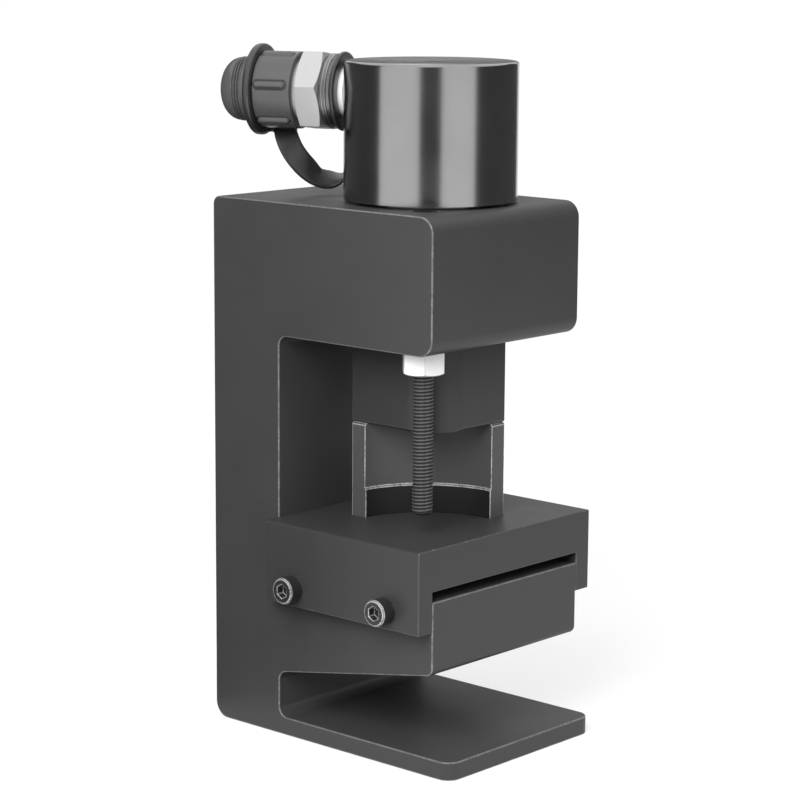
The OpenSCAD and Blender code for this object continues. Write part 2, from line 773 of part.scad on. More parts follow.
// Lock nut of the hold-down screw, tight against the top arm.
module lock_nut() {
    color([0.8, 0.8, 0.81]) translate([-hold_x, -hold_y, arm_z - nut_h]) difference() {
        rotate([0, 0, 45]) chamfered_hex(nut_af, nut_h, nut_chamfer);
        translate([0, 0, -bleed]) cylinder(d = hold_hole_d, h = nut_h + 2 * bleed);
    }
}

// Piston rod with a spigot at each end and tapped centres.
module piston_rod() {
    color([0.7, 0.71, 0.72]) difference() {
        union() {
            translate([0, 0, head_top_z - head_spigot_l])
                cylinder(d = spigot_d, h = piston_z + piston_spigot_l - head_top_z + head_spigot_l);
            translate([0, 0, head_top_z]) cylinder(d = rod_d, h = piston_z - head_top_z);
        }
        translate([0, 0, head_top_z - head_spigot_l - bleed])
            cylinder(d = centre_screw_d + 2 * fit, h = piston_thread_l + bleed);
        translate([0, 0, piston_z + piston_spigot_l - piston_thread_l])
            cylinder(d = centre_screw_d + 2 * fit, h = piston_thread_l + bleed);
        translate([0, (spigot_d + rod_d) / 4, head_top_z - bleed])
            cylinder(d = head_dowel_d + 2 * fit, h = head_dowel_l / 2 + 2 * bleed);
    }
}

// Piston with grooves for its seal and wear ring.
module piston() {
    d = bore_d - 4 * run;
    color([0.6, 0.61, 0.62]) translate([0, 0, piston_z]) difference() {
        cylinder(d = d, h = piston_h);
        translate([0, 0, -bleed]) cylinder(d = spigot_d + 2 * fit, h = piston_spigot_l + bleed);
        translate([0, 0, -bleed]) cylinder(d = centre_screw_d + 2 * fit, h = piston_h);
        translate([0, 0, piston_h - centre_recess_h])
            cylinder(d = centre_recess_d, h = centre_recess_h + bleed);
        translate([0, 0, seal_z - piston_z]) ring(bore_d + 2, bore_d - 2 * seal_t, seal_h);
        translate([0, 0, wear_z - piston_z]) ring(bore_d + 2, bore_d - 2 * wear_t, wear_h);
    }
}

// Screw that holds the piston on the rod.
module piston_screw() {
    color([0.2, 0.2, 0.21])
        translate([0, 0, piston_top_z - centre_recess_h])
            cap_screw(centre_screw_d, centre_head_d, centre_head_h, piston_screw_len);
}

// Lip seal in the piston's upper groove.
module piston_seal() {
    color([0.15, 0.35, 0.6]) translate([0, 0, seal_z + fit]) rotate_extrude() {
        inner = bore_d / 2 - seal_t + fit;
        outer = bore_d / 2 - run;
        top = seal_h - 2 * fit;
        polygon([
            [inner, 0], [outer - seal_edge[0], 0], [outer, seal_edge[1]], [outer, top],
            [outer - seal_lip_w, top], [(inner + outer) / 2, top - seal_lip_h],
            [inner + seal_lip_w, top], [inner, top]
        ]);
    }
}

// Guide ring in the piston's lower groove.
module wear_ring() {
    color([0.75, 0.7, 0.6])
        translate([0, 0, wear_z + fit])
            ring(bore_d - 2 * run, bore_d - 2 * wear_t + 2 * fit, wear_h - 2 * fit);
}

// Seats of the screws and dowels that join punch and ram head, as solids to cut away.
module tool_fixings(screw_d, dowel_d) {
    for (p = tool_screws)
        translate([p[0], p[1], head_z - tool_screw_depth])
            cylinder(d = screw_d, h = tool_screw_depth + head_h + bleed);
    for (p = tool_dowels)
        translate([p[0], p[1], head_z - tool_dowel_depth])
            cylinder(d = dowel_d, h = 2 * tool_dowel_depth);
}

// Ram head under the top arm, carried by the rod, with the punch bolted below it.
module ram_head() {
    corner = [[-punch_w / 2, punch_l / 2], [-punch_w / 2, -punch_l / 2], [punch_w / 2, -punch_l / 2]];
    color([0.22, 0.22, 0.23]) difference() {
        translate([0, 0, head_z]) intersection() {
            linear_extrude(head_h) difference() {
                chamfer_rect(punch_w, punch_l, edge_c);
                corner_sliver(corner[0], corner[1], corner[2], head_corner_r);
            }
            edge_block(head_h, false);
        }
        // Spigot seat, centre screw and its counterbore
        translate([0, 0, head_top_z - head_spigot_l])
            cylinder(d = spigot_d + 2 * fit, h = head_spigot_l + bleed);
        translate([0, 0, head_z - bleed])
            cylinder(d = centre_screw_d + 2 * screw_hole_gap, h = head_h);
        translate([0, 0, head_z - bleed]) cylinder(d = centre_recess_d, h = centre_recess_h + bleed);
        translate([0, (spigot_d + rod_d) / 4, head_top_z - head_dowel_l / 2])
            cylinder(d = head_dowel_d + 2 * fit, h = head_dowel_l);
        // Holes and counterbores of the punch screws and dowels
        tool_fixings(tool_screw_d + 2 * fit, tool_dowel_d + 2 * fit);
        for (p = tool_screws)
            translate([p[0], p[1], head_top_z - tool_screw_d - tool_screw_sink])
                cylinder(d = tool_screw_d * screw_head_ratio + 2 * fit, h = head_h);
    }
}

// Block of the punch's plan with a chamfer round its lower edge, or its upper edge.
module edge_block(h, upper) {
    flip = upper ? 1 : 0;
    translate([0, 0, upper ? h : 0]) mirror([0, 0, flip]) intersection() {
        rotate([90, 0, 0])
            linear_extrude(punch_l + 2, center = true)
                polygon([
                    [-punch_w / 2 + edge_c, 0], [punch_w / 2 - edge_c, 0], [punch_w / 2, edge_c],
                    [punch_w / 2, h], [-punch_w / 2, h], [-punch_w / 2, edge_c]
                ]);
        rotate([90, 0, 90])
            linear_extrude(punch_w + 2, center = true)
                polygon([
                    [-punch_l / 2 + edge_c, 0], [punch_l / 2 - edge_c, 0], [punch_l / 2, edge_c],
                    [punch_l / 2, h], [-punch_l / 2, h], [-punch_l / 2, edge_c]
                ]);
    }
}

// Screw that holds the ram head on the rod, from below.
module head_screw() {
    len = head_h - centre_recess_h - head_spigot_l + head_screw_grip;
    color([0.2, 0.2, 0.21])
        translate([0, 0, head_z + centre_recess_h])
            rotate([180, 0, 0])
                cap_screw(centre_screw_d, centre_head_d, centre_head_h, len);
}

// Dowel that keeps the ram head square to the rod.
module head_dowel() {
    color([0.6, 0.6, 0.62])
        translate([0, (spigot_d + rod_d) / 4, head_top_z - head_dowel_l / 2])
            cylinder(d = head_dowel_d, h = head_dowel_l);
}

// Punch with its hollow corner radius, cutting land and relief.
module punch() {
    color([0.3, 0.3, 0.31]) difference() {
        translate([0, 0, punch_z]) intersection() {
            linear_extrude(punch_len) cut_outline(0, cut_r);
            edge_block(punch_len, true);
        }
        // Relief above the cutting land, with a bevelled ledge
        translate([arc_x, arc_y, land_z])
            cylinder(r = cut_r + land_relief, h = head_z - land_z + bleed, $fn = 128);
        translate([arc_x, arc_y, land_z - land_relief])
            cylinder(r1 = cut_r, r2 = cut_r + land_relief, h = land_relief, $fn = 128);
        tool_fixings(tool_screw_d + 2 * fit, tool_dowel_d + 2 * fit);
    }
}

// Three screws from the ram head's top into the punch.
module punch_screws() {
    head_seat = head_top_z - tool_screw_d - tool_screw_sink;
    color([0.2, 0.2, 0.21])
        for (p = tool_screws)
            translate([p[0], p[1], head_seat])
                cap_screw(tool_screw_d, tool_screw_d * screw_head_ratio, tool_screw_d,
                          head_seat - head_z + tool_screw_depth - hole_tip);
}

// Two dowels that locate the punch under the ram head.
module punch_dowels() {
    color([0.6, 0.6, 0.62])
        for (p = tool_dowels)
            translate([p[0], p[1], head_z - tool_dowel_depth + hole_tip / 2])
                cylinder(d = tool_dowel_d, h = 2 * tool_dowel_depth - hole_tip);
}

// Return spring round the rod, between the bush and the piston.
module return_spring() {
    color([0.35, 0.35, 0.38])
        helix(spring_r, spring_wire / 2, spring_turns, spring_low_z, spring_high_z,
              spring_steps, spring_sides);
}

// Screw-on dust cap: ribbed body, groove for the strap's ring and threaded, domed nose.
module dust_cap() {
    color([0.15, 0.15, 0.16]) difference() {
        union() {
            along_port(0) rotate_extrude() cap_profile();
            for (i = [0 : rib_n - 1])
                on_port_axis() rotate([rib_lean + i * 360 / rib_n, 0, 0]) grip_rib();
        }
        along_port(cap_x - bleed) cylinder(d = cap_bore_d, h = cap_wall_x - cap_x + bleed);
    }
}

// Half section of the cap without its bore: body, groove, nose and dome.
module cap_profile() {
    body_r = cap_d / 2;
    nose_r = nose_d / 2;
    flat_r = nose_r * dome_flat;
    polygon(concat(
        [[0, cap_x], [body_r - cap_edge_c, cap_x], [body_r, cap_x + cap_edge_c], [body_r, cap_body_x],
         [neck_ring_d / 2, cap_body_x], [neck_ring_d / 2, nose_x], [nose_r, nose_x]],
        [for (i = [0 : dome_steps]) let (a = i * 90 / dome_steps)
            [flat_r + (nose_r - flat_r) * cos(a), cap_end - dome_h + dome_h * sin(a)]],
        [[0, cap_end]]));
}

// One grip rib with round ends, lying on the cap along +X, on the +Y side.
module grip_rib() {
    x0 = cap_x + rib_end_gap + rib_w / 2;
    x1 = cap_body_x - rib_shoulder_gap - rib_w / 2;
    root_r = (cap_bore_d + cap_d) / 4;
    rotate([-90, 0, 0]) translate([0, 0, root_r]) linear_extrude(cap_d / 2 + rib_h - root_r) {
        translate([x0, 0]) circle(d = rib_w);
        translate([x1, 0]) circle(d = rib_w);
        translate([x0, -rib_w / 2]) square([x1 - x0, rib_w]);
    }
}

// Sealing disc at the bottom of the dust cap.
module cap_seal() {
    color([0.08, 0.08, 0.09])
        along_port(cap_wall_x - cap_seal_t) cylinder(d = sleeve_d - 2 * cap_seal_inset, h = cap_seal_t);
}

// Strap ring that turns in the dust cap's groove.
module strap_ring() {
    color([0.12, 0.12, 0.12])
        along_port(cap_body_x + groove_gap) ring(cap_ring_d, neck_ring_d + 2 * groove_gap, cap_ring_t);
}

// Point or direction between two neighbours of a list, on a smooth curve through it.
function smooth(list, i, t) =
    let (n = len(list) - 1,
         a = list[max(i - 1, 0)], b = list[i], c = list[min(i + 1, n)], d = list[min(i + 2, n)])
    0.5 * (2 * b + (c - a) * t + (2 * a - 5 * b + 4 * c - d) * t * t
        + (3 * b - 3 * c + d - a) * t * t * t);

// Rubber strap: the band from the cap's ring and its own ring on the port adapter.
module cap_strap() {
    n = (len(strap_route) - 1) * strap_steps;
    function along(list, k) = k == n
        ? list[len(list) - 1]
        : smooth(list, floor(k / strap_steps), (k % strap_steps) / strap_steps);
    spine = [for (k = [0 : n]) let (p = along(strap_route, k))
        [strap_low_x + p[0] * (strap_high_x - strap_low_x), p[1], p[2]]];
    run_dir = [for (k = [0 : n]) spine[min(k + 1, n)] - spine[max(k - 1, 0)]];
    wide = [for (k = [0 : n])
        let (t = run_dir[k] / norm(run_dir[k]), level = [1, 0, 0] - t[0] * t,
             a = level / norm(level), roll = along(strap_roll, k))
            a * cos(roll) + cross(t, a) * sin(roll)];
    thick = [for (k = [0 : n]) cross(run_dir[k] / norm(run_dir[k]), wide[k])];
    corners = [[-1, -1], [1, -1], [1, 1], [-1, 1]];
    points = [for (k = [0 : n]) for (c = corners)
        spine[k] + wide[k] * c[0] * strap_w / 2 + thick[k] * c[1] * strap_t / 2];
    skin = [for (k = [0 : n - 1]) for (c = [0 : 3])
        let (a = k * 4 + c, b = k * 4 + (c + 1) % 4)
            each [[a, a + 4, b], [b, a + 4, b + 4]]];
    ends = [[0, 1, 2, 3], [n * 4 + 3, n * 4 + 2, n * 4 + 1, n * 4]];
    color([0.12, 0.12, 0.12]) {
        on_port_axis() polyhedron(points, concat(skin, ends));
        along_port(port_ring_x) ring(port_ring_d, collar_d + 2 * port_ring_gap, port_ring_t);
    }
}

frame();
die();
die_screws();
saddle();
saddle_screws();
barrel();
rod_bush();
rod_wiper();
port_seal();
port_adapter();
coupler_body();
coupler_valve();
valve_spring();
hold_down_screw();
lock_nut();
piston_rod();
piston();
piston_screw();
piston_seal();
wear_ring();
ram_head();
head_screw();
head_dowel();
punch();
punch_screws();
punch_dowels();
return_spring();
dust_cap();
cap_seal();
strap_ring();
cap_strap();
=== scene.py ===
import json
import math

import bmesh
import bpy
import numpy as np
from mathutils import Matrix, Vector


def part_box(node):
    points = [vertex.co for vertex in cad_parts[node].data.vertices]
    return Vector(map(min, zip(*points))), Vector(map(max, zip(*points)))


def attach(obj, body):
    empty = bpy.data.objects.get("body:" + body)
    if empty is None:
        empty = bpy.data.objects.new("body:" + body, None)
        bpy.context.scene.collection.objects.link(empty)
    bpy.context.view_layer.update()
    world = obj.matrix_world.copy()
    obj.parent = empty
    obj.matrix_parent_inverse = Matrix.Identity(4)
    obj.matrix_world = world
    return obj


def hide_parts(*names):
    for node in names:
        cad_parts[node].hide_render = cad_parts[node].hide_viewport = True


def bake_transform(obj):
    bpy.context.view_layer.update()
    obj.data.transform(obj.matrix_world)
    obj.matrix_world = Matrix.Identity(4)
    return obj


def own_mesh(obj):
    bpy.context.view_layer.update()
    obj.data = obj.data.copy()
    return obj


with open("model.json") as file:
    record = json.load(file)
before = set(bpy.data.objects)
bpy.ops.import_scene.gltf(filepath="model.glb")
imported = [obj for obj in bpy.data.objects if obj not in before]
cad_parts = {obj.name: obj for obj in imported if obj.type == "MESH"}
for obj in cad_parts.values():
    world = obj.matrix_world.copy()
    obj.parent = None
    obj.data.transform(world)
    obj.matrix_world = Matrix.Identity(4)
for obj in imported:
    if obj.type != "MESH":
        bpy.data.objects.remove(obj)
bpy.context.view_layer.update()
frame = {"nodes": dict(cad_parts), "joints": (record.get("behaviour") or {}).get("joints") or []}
mm = 0.001
fullTurn = 2 * math.pi


# Shader writing

class Signal:  # one output socket, so that masks can be written as sums
    def __init__(self, tree, socket):
        self.tree, self.socket = tree, socket

    def combine(self, operation, first, second):
        step = self.tree.nodes.new("ShaderNodeMath")
        step.operation = operation
        for place, given in zip(step.inputs, (first, second)):
            plug(self.tree, given, place)
        return Signal(self.tree, step.outputs[0])

    def __add__(self, other):
        return self.combine("ADD", self, other)

    def __sub__(self, other):
        return self.combine("SUBTRACT", self, other)

    def __mul__(self, other):
        return self.combine("MULTIPLY", self, other)

    def __radd__(self, other):
        return self.combine("ADD", other, self)

    def __rsub__(self, other):
        return self.combine("SUBTRACT", other, self)

    def __rmul__(self, other):
        return self.combine("MULTIPLY", other, self)


def plug(tree, given, place):  # links a signal, or sets a number or colour
    if isinstance(given, Signal):
        tree.links.new(given.socket, place)
    elif isinstance(given, (tuple, list)) and len(given) == 3 and place.type == "RGBA":
        place.default_value = (*given, 1)
    else:
        place.default_value = given


class Finish:  # a material under construction
    def __init__(self, name):
        self.material = bpy.data.materials.new(name)
        self.material.use_nodes = True
        self.tree = self.material.node_tree
        self.tree.nodes.clear()
        self.place = self.node("ShaderNodeTexCoord", {}, {}, "Object")

    def node(self, kind, settings, values, output=0):
        made = self.tree.nodes.new(kind)
        for key, value in settings.items():
            if key == "stops":
                self.setStops(made.color_ramp, value)
            else:
                setattr(made, key, value)
        for key, value in values.items():
            plug(self.tree, value, made.inputs[key])
        return Signal(self.tree, made.outputs[output])

    def setStops(self, ramp, stops):
        while len(ramp.elements) < len(stops):
            ramp.elements.new(0.5)
        for element, (position, level) in zip(ramp.elements, stops):
            element.position = position
            element.color = (level, level, level, 1)

    def noise(self, size, detail=3, roughness=0.5, stretch=(1, 1, 1)):  # size of a blotch in metres
        where = self.node("ShaderNodeMapping", {}, {"Vector": self.place, "Scale": stretch})
        values = {"Vector": where, "Scale": 1 / size, "Detail": detail, "Roughness": roughness}
        return self.node("ShaderNodeTexNoise", {}, values)

    def ramp(self, signal, *stops):
        return self.node("ShaderNodeValToRGB", {"stops": stops}, {"Fac": signal})

    def mix(self, share, first, second):  # colours
        settings = {"data_type": "RGBA", "blend_type": "MIX"}
        return self.node("ShaderNodeMix", settings, {0: share, 6: first, 7: second}, 2)

    def bump(self, height, depth):  # depth in metres
        return self.node("ShaderNodeBump", {}, {"Height": height, "Distance": depth, "Strength": 1})

    def surface(self, values):
        surface = self.node("ShaderNodeBsdfPrincipled", {}, values)
        output = self.tree.nodes.new("ShaderNodeOutputMaterial")
        self.tree.links.new(surface.socket, output.inputs["Surface"])
        return self.material


def grey(level):  # linear colour of a screen grey from 0 to 255
    share = level / 255
    value = share / 12.92 if share < 0.04045 else ((share + 0.055) / 1.055) ** 2.4
    return (value, value, value)


# Finishes of the steel pieces

blackFinishes = {
    "frameBlack": {"tone": 58, "spread": 5, "grain": 0.7 * mm, "depth": 0.03 * mm, "gloss": 0.46},
    "saddleBlack": {"tone": 53, "spread": 4, "grain": 0.7 * mm, "depth": 0.02 * mm, "gloss": 0.44},
    "ramBlack": {"tone": 52, "spread": 4, "grain": 0.6 * mm, "depth": 0.02 * mm, "gloss": 0.42},
    "punchSteel": {"tone": 72, "spread": 6, "grain": 0.6 * mm, "depth": 0.015 * mm, "gloss": 0.38},
    "toolSteel": {"tone": 78, "spread": 6, "grain": 0.5 * mm, "depth": 0.01 * mm, "gloss": 0.34},
    "screwBlack": {"tone": 40, "spread": 12, "grain": 0.5 * mm, "depth": 0.03 * mm, "gloss": 0.36},
    # painted shade: the land's near-black tone stands for the shade under the punch's bright edge
    "landShadeBlack": {"tone": 26, "spread": 4, "grain": 0.5 * mm, "depth": 0.01 * mm, "gloss": 0.4},
}


blackening = {"cloud": 28 * mm, "speck": 1.1 * mm, "speckShare": 0.2, "cloudGloss": 0.12,
              "speckGloss": 0.05, "shine": 0.35}


def blackSteel(name, look):  # blackened steel: fine matt grain, faint clouds, lighter specks
    finish = Finish(name)
    grain = finish.noise(look["grain"], detail=4, roughness=0.7)
    clouds = finish.noise(blackening["cloud"], detail=5, roughness=0.6)
    specks = finish.ramp(finish.noise(blackening["speck"], detail=2), (0.62, 0), (0.74, 1))
    dark, light = grey(look["tone"] - look["spread"]), grey(look["tone"] + look["spread"])
    base = finish.mix(0.65 * clouds + 0.35 * grain, dark, light)
    speckTone = grey(look["tone"] + 4 * look["spread"])
    tinted = finish.mix(specks * blackening["speckShare"], base, speckTone)
    cloudy = look["gloss"] + (clouds - 0.5) * blackening["cloudGloss"]
    rough = cloudy + specks * blackening["speckGloss"]
    normal = finish.bump(grain, look["depth"])
    return finish.surface({"Base Color": tinted, "Roughness": rough, "Normal": normal,
                           "Specular IOR Level": blackening["shine"]})


# edge finishes: the bare patches are wear, and the lighter tone along every edge is painted highlight
edgeFinishes = {
    "frameEdge": {"tone": 92, "bare": 135, "rubbed": 0.46},
    "darkEdge": {"tone": 66, "bare": 130, "rubbed": 0.55},
    "toolEdge": {"tone": 120, "bare": 200, "rubbed": 0.42},
    "screwEdge": {"tone": 92, "bare": 185, "rubbed": 0.42},
}


rubbing = {"patch": 7 * mm, "nick": 1.4 * mm, "fade": 0.12, "gloss": 0.42, "metal": 0.55}


def edgeWearAndHighlight(name, look):  # an edge where the black has worn through to bare steel in patches; the edge's own tone, lighter than the face beside it, is a painted highlight
    finish = Finish(name)
    patches = finish.noise(rubbing["patch"], detail=5, roughness=0.7)
    nicks = finish.noise(rubbing["nick"], detail=3)
    start = look["rubbed"]
    bare = finish.ramp(0.6 * patches + 0.4 * nicks, (start, 0), (start + rubbing["fade"], 1))
    tint = finish.mix(bare, grey(look["tone"]), grey(look["bare"]))
    return finish.surface({"Base Color": tint, "Roughness": rubbing["gloss"] - 0.1 * bare,
                           "Metallic": rubbing["metal"] * bare})


barrelLook = {"line": 0.5 * mm, "cloud": 20 * mm, "dark": 160, "light": 174, "gloss": 0.14,
              "depth": 0.003 * mm}


def barrelFinish(look):  # dark polished cylinder with fine turning lines
    finish = Finish("barrelBlack")
    lines = finish.noise(look["line"], detail=3, stretch=(0.02, 0.02, 1))
    clouds = finish.noise(look["cloud"], detail=4)
    tint = finish.mix(clouds, grey(look["dark"]), grey(look["light"]))
    rough = look["gloss"] + 0.05 * clouds + 0.05 * lines
    normal = finish.bump(lines, look["depth"])
    return finish.surface({"Base Color": tint, "Roughness": rough, "Metallic": 1.0, "Normal": normal})


zincFinishes = {
    "zincPlate": {"tone": 213, "spread": 9, "metal": 0.85},
    # painted reflection: a pale, nearly matt copy of the zinc plate, whose white stands for the white
    # studio that the plated adapter and nut reflect
    "zincPaintedReflection": {"tone": 248, "spread": 4, "metal": 0.15},
}


def zincPlated(name, look):  # white zinc plate, slightly clouded and grained
    finish = Finish(name)
    clouds = finish.noise(4 * mm, detail=5, roughness=0.65)
    grain = finish.noise(0.5 * mm, detail=3)
    dark, light = grey(look["tone"] - look["spread"]), grey(look["tone"] + look["spread"])
    tint = finish.mix(0.5 * clouds + 0.5 * grain, dark, light)
    rough = 0.34 + 0.14 * clouds
    normal = finish.bump(grain, 0.014 * mm)
    return finish.surface({"Base Color": tint, "Roughness": rough, "Metallic": look["metal"],
                           "Normal": normal})


turnedFinishes = {
    "brightSteel": {"tone": 200, "gloss": 0.28, "metal": 1.0},
    "chromeRod": {"tone": 212, "gloss": 0.1, "metal": 1.0},
    "springSteel": {"tone": 92, "gloss": 0.4, "metal": 0.7},
    "bronzeBush": {"tone": 190, "gloss": 0.35, "metal": 1.0, "tint": (0.62, 0.36, 0.13)},
    # painted highlight, partly wear: the lighter crests of the hold-down thread stand for its highlights as
    # well as for rubbed bare steel
    "crestWearAndHighlight": {"tone": 92, "gloss": 0.35, "metal": 0.3},
    "shoulderSteel": {"tone": 128, "gloss": 0.2, "metal": 1.0},
}


def turnedMetal(name, look):  # bare or plated metal with fine marks from the lathe
    finish = Finish(name)
    marks = finish.noise(0.35 * mm, detail=3)
    clouds = finish.noise(6 * mm, detail=4)
    light = look.get("tint", grey(look["tone"]))
    dark = tuple(0.82 * part for part in light)
    tint = finish.mix(clouds, dark, light)
    rough = look["gloss"] + 0.1 * clouds
    normal = finish.bump(marks, 0.006 * mm)
    return finish.surface({"Base Color": tint, "Roughness": rough, "Metallic": look["metal"],
                           "Normal": normal})


mouldedFinishes = {
    "capPlastic": {"tone": 75, "spread": 6, "grain": 0.25 * mm, "depth": 0.01 * mm, "gloss": 0.26},
    "strapRubber": {"tone": 36, "spread": 5, "grain": 0.3 * mm, "depth": 0.012 * mm, "gloss": 0.34,
                    "shine": 1.0},
    "studioCard": {"tone": 74, "spread": 2, "grain": 1 * mm, "depth": 0.01 * mm, "gloss": 0.9},
    "sealRubber": {"tone": 30, "spread": 4, "grain": 0.3 * mm, "depth": 0.012 * mm, "gloss": 0.5},
    "blueSeal": {"tone": 90, "spread": 4, "grain": 0.3 * mm, "depth": 0.01 * mm, "gloss": 0.35,
                 "tint": (0.03, 0.11, 0.33)},
    "guideBand": {"tone": 150, "spread": 5, "grain": 0.4 * mm, "depth": 0.01 * mm, "gloss": 0.5,
                  "tint": (0.42, 0.36, 0.25)},
}


def moulded(name, look):  # plastic or rubber with a faint mould texture
    finish = Finish(name)
    grain = finish.noise(look["grain"], detail=3, roughness=0.6)
    clouds = finish.noise(9 * mm, detail=4)
    light = look.get("tint", grey(look["tone"] + look["spread"]))
    dark = tuple(0.8 * part for part in light)
    tint = finish.mix(clouds, dark, light)
    rough = look["gloss"] + 0.12 * (clouds - 0.5)
    normal = finish.bump(grain, look["depth"])
    return finish.surface({"Base Color": tint, "Roughness": rough, "Normal": normal,
                           "Specular IOR Level": look.get("shine", 0.5)})


finishes = {name: blackSteel(name, look) for name, look in blackFinishes.items()}
finishes.update({name: edgeWearAndHighlight(name, look) for name, look in edgeFinishes.items()})
finishes.update({name: turnedMetal(name, look) for name, look in turnedFinishes.items()})
finishes.update({name: moulded(name, look) for name, look in mouldedFinishes.items()})
finishes["barrelBlack"] = barrelFinish(barrelLook)
finishes.update({name: zincPlated(name, look) for name, look in zincFinishes.items()})
print("finishes:", len(finishes))


# Making and placing pieces

def addObject(name, data):
    made = bpy.data.objects.new(name, data)
    bpy.context.scene.collection.objects.link(made)
    return made


def newPiece(name, mesh, finishNames):
    piece = addObject(name, mesh)
    mesh.materials.clear()
    for finishName in finishNames:
        mesh.materials.append(finishes[finishName])
    return piece


def mount(piece, body, slot, *nodes):
    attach(piece, body)
    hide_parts(*nodes)


def smoothShade(mesh, angle=30):  # edges sharper than this angle stay sharp
    mesh.shade_smooth()
    mesh.set_sharp_from_angle(angle=math.radians(angle))


def cleanCopy(node):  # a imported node's mesh with its seams closed
    mesh = frame["nodes"][node].data.copy()
    work = bmesh.new()
    work.from_mesh(mesh)
    bmesh.ops.remove_doubles(work, verts=work.verts, dist=0.002 * mm)
    work.to_mesh(mesh)
    work.free()
    if "custom_normal" in mesh.attributes:
        mesh.attributes.remove(mesh.attributes["custom_normal"])
    smoothShade(mesh)
    return mesh


def breakEdges(piece, width, segments=3):  # rounds the sharp edges and gives them the second finish
    bevel = piece.modifiers.new("edges", "BEVEL")
    bevel.limit_method = "ANGLE"
    bevel.angle_limit = math.radians(30)
    bevel.width = width
    bevel.segments = segments
    bevel.use_clamp_overlap = False
    bevel.loop_slide = False
    bevel.harden_normals = True
    bevel.material = len(piece.data.materials) - 1


portTurn = math.radians(112.5)  # from +X to the port's own axis
portHeight = sum(corner.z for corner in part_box("port_adapter")) / 2
portFrame = Matrix.Translation((0, 0, portHeight)) @ Matrix.Rotation(portTurn, 4, "Z")


def meshOf(name, points, faces):
    mesh = bpy.data.meshes.new(name)
    mesh.from_pydata(points, [], faces)
    mesh.validate()
    return mesh


def gridFaces(rows, columns, closed=False):  # quads between rows of points that go all the way round
    last = rows if closed else rows - 1
    return [(r * columns + c, r * columns + (c + 1) % columns,
             (r + 1) % rows * columns + (c + 1) % columns, (r + 1) % rows * columns + c)
            for r in range(last) for c in range(columns)]


def endCaps(count, columns):  # faces that close the first and the last row of so many points
    return [tuple(range(columns))[::-1], tuple(range(count - columns, count))]


def turnedPoints(stations, radiusAt, columns, scale=1):
    # stations along +X; radiusAt(station number, x, angle) gives the radius there
    points = []
    for number, x in enumerate(stations):
        for c in range(columns):
            angle = fullTurn * c / columns
            r = radiusAt(number, x, angle)
            points.append((x * scale, r * scale * math.cos(angle), r * scale * math.sin(angle)))
    return points


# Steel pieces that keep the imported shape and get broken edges

def steelLook(body, slot, finish, edge, width):
    return {"body": body, "slot": slot, "finish": finish, "edge": edge, "width": width}


steelLooks = {  # width of the broken edges in millimetres
    "frame": steelLook("machine", "frame_black", "frameBlack", "frameEdge", 0.6),
    "saddle": steelLook("machine", "saddle_black", "saddleBlack", "darkEdge", 0.5),
    "die": steelLook("machine", "tool_steel", "toolSteel", "toolEdge", 0.12),
    "die_screws": steelLook("machine", "screw_black", "screwBlack", "darkEdge", 0.15),
    "saddle_screws": steelLook("machine", "screw_black", "screwBlack", "screwEdge", 0.35),
    "barrel": steelLook("machine", "barrel_black", "barrelBlack", "barrelBlack", 0),
    "port_adapter": steelLook("machine", "zinc_plate", "zincPaintedReflection", "zincPaintedReflection", 0.3),
    "coupler_body": steelLook("machine", "zinc_plate", "zincPlate", "brightSteel", 0.15),
    "ram_head": steelLook("ram", "ram_black", "ramBlack", "darkEdge", 0.3),
    "punch": steelLook("ram", "punch_steel", "punchSteel", "toolEdge", 0.3),
    "lock_nut": steelLook("hold_down_nut", "zinc_plate", "zincPaintedReflection", "brightSteel", 0.15),
}

accents = {  # faces of a piece that have a finish of their own; the punch's band is painted shade
    "coupler_body": {"finish": "shoulderSteel", "hexStart": 51.2 * mm},
    "punch": {"finish": "landShadeBlack", "arcCentre": (-28.5 * mm, -25 * mm), "arcRadius": 43 * mm,
              "landTop": 124.2 * mm},
}


def isShoulder(centre):  # the turned shoulder behind the coupler's hexagon
    return (portFrame.inverted() @ centre).x < accents["coupler_body"]["hexStart"]


def inLandShade(centre):  # the cutting land at the foot of the punch's hollow corner, painted near-black as the shade below its bright edge
    look = accents["punch"]
    away = math.hypot(centre.x - look["arcCentre"][0], centre.y - look["arcCentre"][1])
    return centre.z < look["landTop"] and abs(away - look["arcRadius"]) < 0.4 * mm


accentTests = {"coupler_body": isShoulder, "punch": inLandShade}


for node, look in steelLooks.items():
    accent = [accents[node]["finish"]] if node in accents else []
    piece = newPiece(node + "_finished", cleanCopy(node), [look["finish"], *accent, look["edge"]])
    if accent:
        for face in piece.data.polygons:
            face.material_index = int(accentTests[node](face.center))
    if look["width"]:
        breakEdges(piece, look["width"] * mm)
    mount(piece, look["body"], look["slot"], node)
print("steel pieces:", len(steelLooks))


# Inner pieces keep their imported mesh

innerLooks = {
    "rod_bush": "bronzeBush", "rod_wiper": "sealRubber", "port_seal": "zincPlate",
    "coupler_valve": "brightSteel", "piston_rod": "chromeRod", "piston": "brightSteel",
    "piston_screw": "screwBlack", "piston_seal": "blueSeal", "wear_ring": "guideBand",
    "head_screw": "screwBlack", "head_dowel": "brightSteel", "punch_screws": "screwBlack",
    "punch_dowels": "brightSteel", "cap_seal": "sealRubber",
}

for node, finishName in innerLooks.items():
    materials = frame["nodes"][node].data.materials
    materials.clear()
    materials.append(finishes[finishName])
print("inner pieces:", len(innerLooks))


# Hold-down screw with its thread

threadLook = {"pitch": 1.7 * mm, "depth": 0.62 * mm, "crest": 0.3, "rowsPerTurn": 10, "columns": 48,
              "tipChamfer": 1.3 * mm, "wearAndHighlight": 0.2 * mm}


def threadWave(turnShare, crest):  # 1 on the crest, 0 at the root
    off = abs((turnShare % 1) - 0.5) * 2
    return min(1, max(0, (off - (1 - crest) * 0.08) / (1 - crest)))


